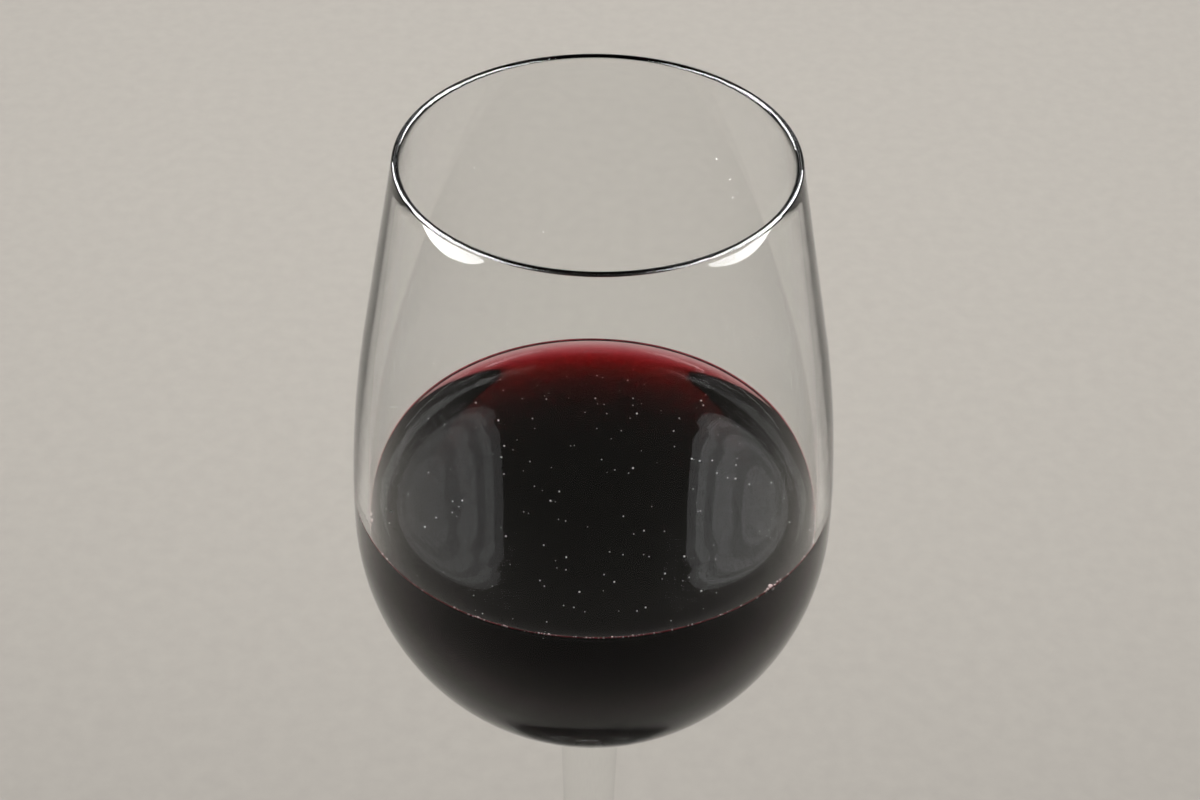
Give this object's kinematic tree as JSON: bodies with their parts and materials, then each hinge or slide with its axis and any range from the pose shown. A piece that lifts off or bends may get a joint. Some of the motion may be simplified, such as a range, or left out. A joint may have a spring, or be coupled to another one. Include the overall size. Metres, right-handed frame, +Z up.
{
  "type": "glass of red wine",
  "caption": "Tall stemmed wine glass with an egg-shaped bowl that narrows to a thin rounded rim, part filled with dark red wine, on a slim drawn stem and a round foot.",
  "frame": {"origin": "centre of the flat ring under the foot, on the surface that the glass stands on", "axes": "+Z up through the stem to the rim, along the axis that the glass is turned about; X and Y are alike"},
  "size_m": [0.083, 0.083, 0.215],
  "materials": {
    "glass": "clear, colourless, polished",
    "wine": "still liquid, nearly black where deep and dark red where thin"
  },
  "bodies": {
    "root": {"glass": "glass", "wine": "wine"}
  },
  "joints": []
}
